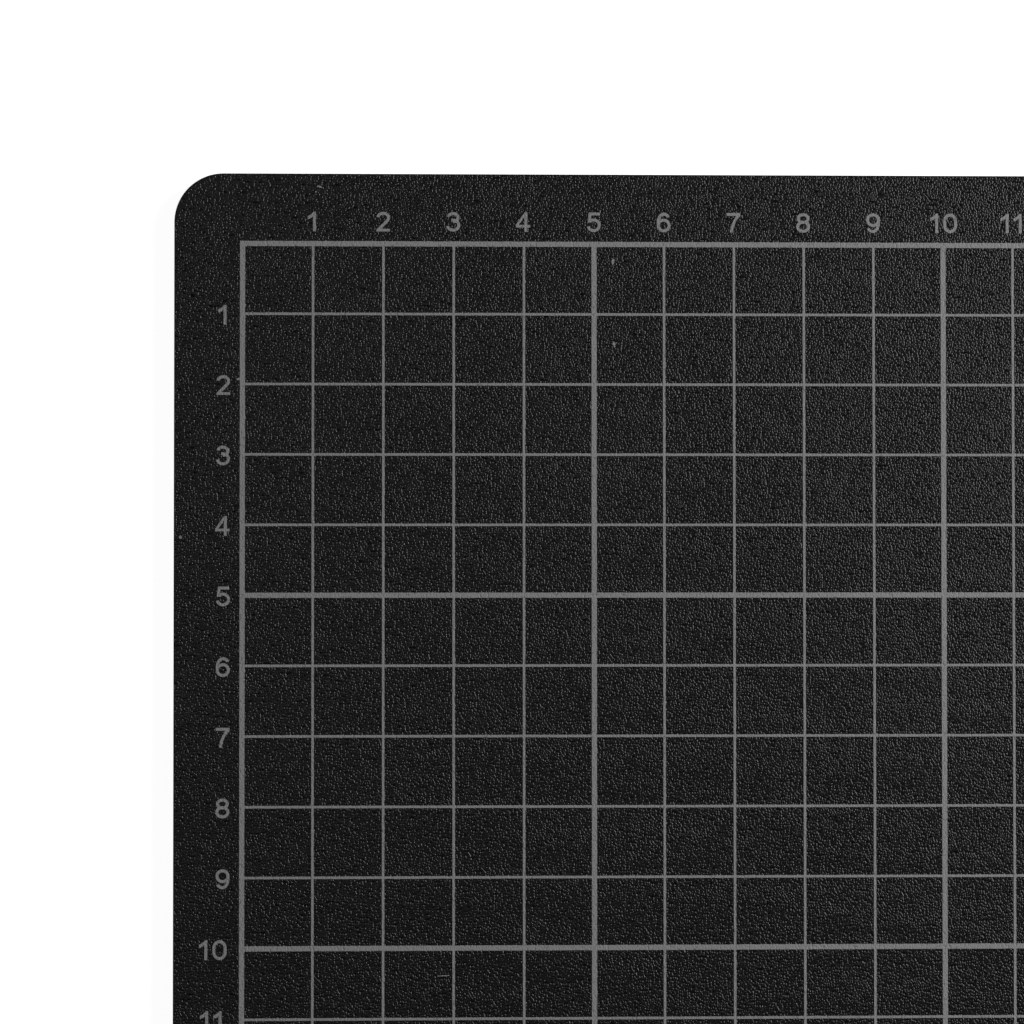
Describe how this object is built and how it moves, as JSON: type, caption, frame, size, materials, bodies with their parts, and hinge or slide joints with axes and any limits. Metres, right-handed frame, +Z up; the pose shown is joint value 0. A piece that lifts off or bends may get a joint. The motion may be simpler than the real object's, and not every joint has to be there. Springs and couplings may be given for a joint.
{
  "type": "self healing mat",
  "caption": "Flat self healing cutting mat, a bonded plastic laminate with a printed centimetre grid and numbered edges on its upper face.",
  "frame": {"origin": "on the surface the mat lies on, under the centre of the mat", "axes": "+X along the long side, +Y towards the edge with the upper row of numbers, +Z up out of the printed face"},
  "size_m": [0.3, 0.22, 0.003],
  "materials": {
    "healing_pvc": "fine embossed grain, satin, near black",
    "inner_pvc": "cut edge of soft PVC, dull, near black",
    "core_pvc": "cut edge of stiff PVC, slightly lighter, satin",
    "print_ink": "matt grey screen print ink"
  },
  "bodies": {
    "root": {"border_line": "print_ink", "bottom_healing_sheet": "healing_pvc", "five_cm_lines": "print_ink", "left_number_1": "print_ink", "left_number_10": "print_ink", "left_number_11": "print_ink", "left_number_12": "print_ink", "left_number_13": "print_ink", "left_number_14": "print_ink", "left_number_15": "print_ink", "left_number_16": "print_ink", "left_number_17": "print_ink", "left_number_18": "print_ink", "left_number_19": "print_ink", "left_number_2": "print_ink", "left_number_20": "print_ink", "left_number_3": "print_ink", "left_number_4": "print_ink", "left_number_5": "print_ink", "left_number_6": "print_ink", "left_number_7": "print_ink", "left_number_8": "print_ink", "left_number_9": "print_ink", "lower_inner_sheet": "inner_pvc", "one_cm_lines": "print_ink", "rigid_core_sheet": "core_pvc", "top_healing_sheet": "healing_pvc", "top_number_1": "print_ink", "top_number_10": "print_ink", "top_number_11": "print_ink", "top_number_12": "print_ink", "top_number_13": "print_ink", "top_number_14": "print_ink", "top_number_15": "print_ink", "top_number_16": "print_ink", "top_number_17": "print_ink", "top_number_18": "print_ink", "top_number_19": "print_ink", "top_number_2": "print_ink", "top_number_20": "print_ink", "top_number_21": "print_ink", "top_number_22": "print_ink", "top_number_23": "print_ink", "top_number_24": "print_ink", "top_number_25": "print_ink", "top_number_26": "print_ink", "top_number_27": "print_ink", "top_number_28": "print_ink", "top_number_3": "print_ink", "top_number_4": "print_ink", "top_number_5": "print_ink", "top_number_6": "print_ink", "top_number_7": "print_ink", "top_number_8": "print_ink", "top_number_9": "print_ink", "upper_inner_sheet": "inner_pvc"}
  },
  "joints": []
}
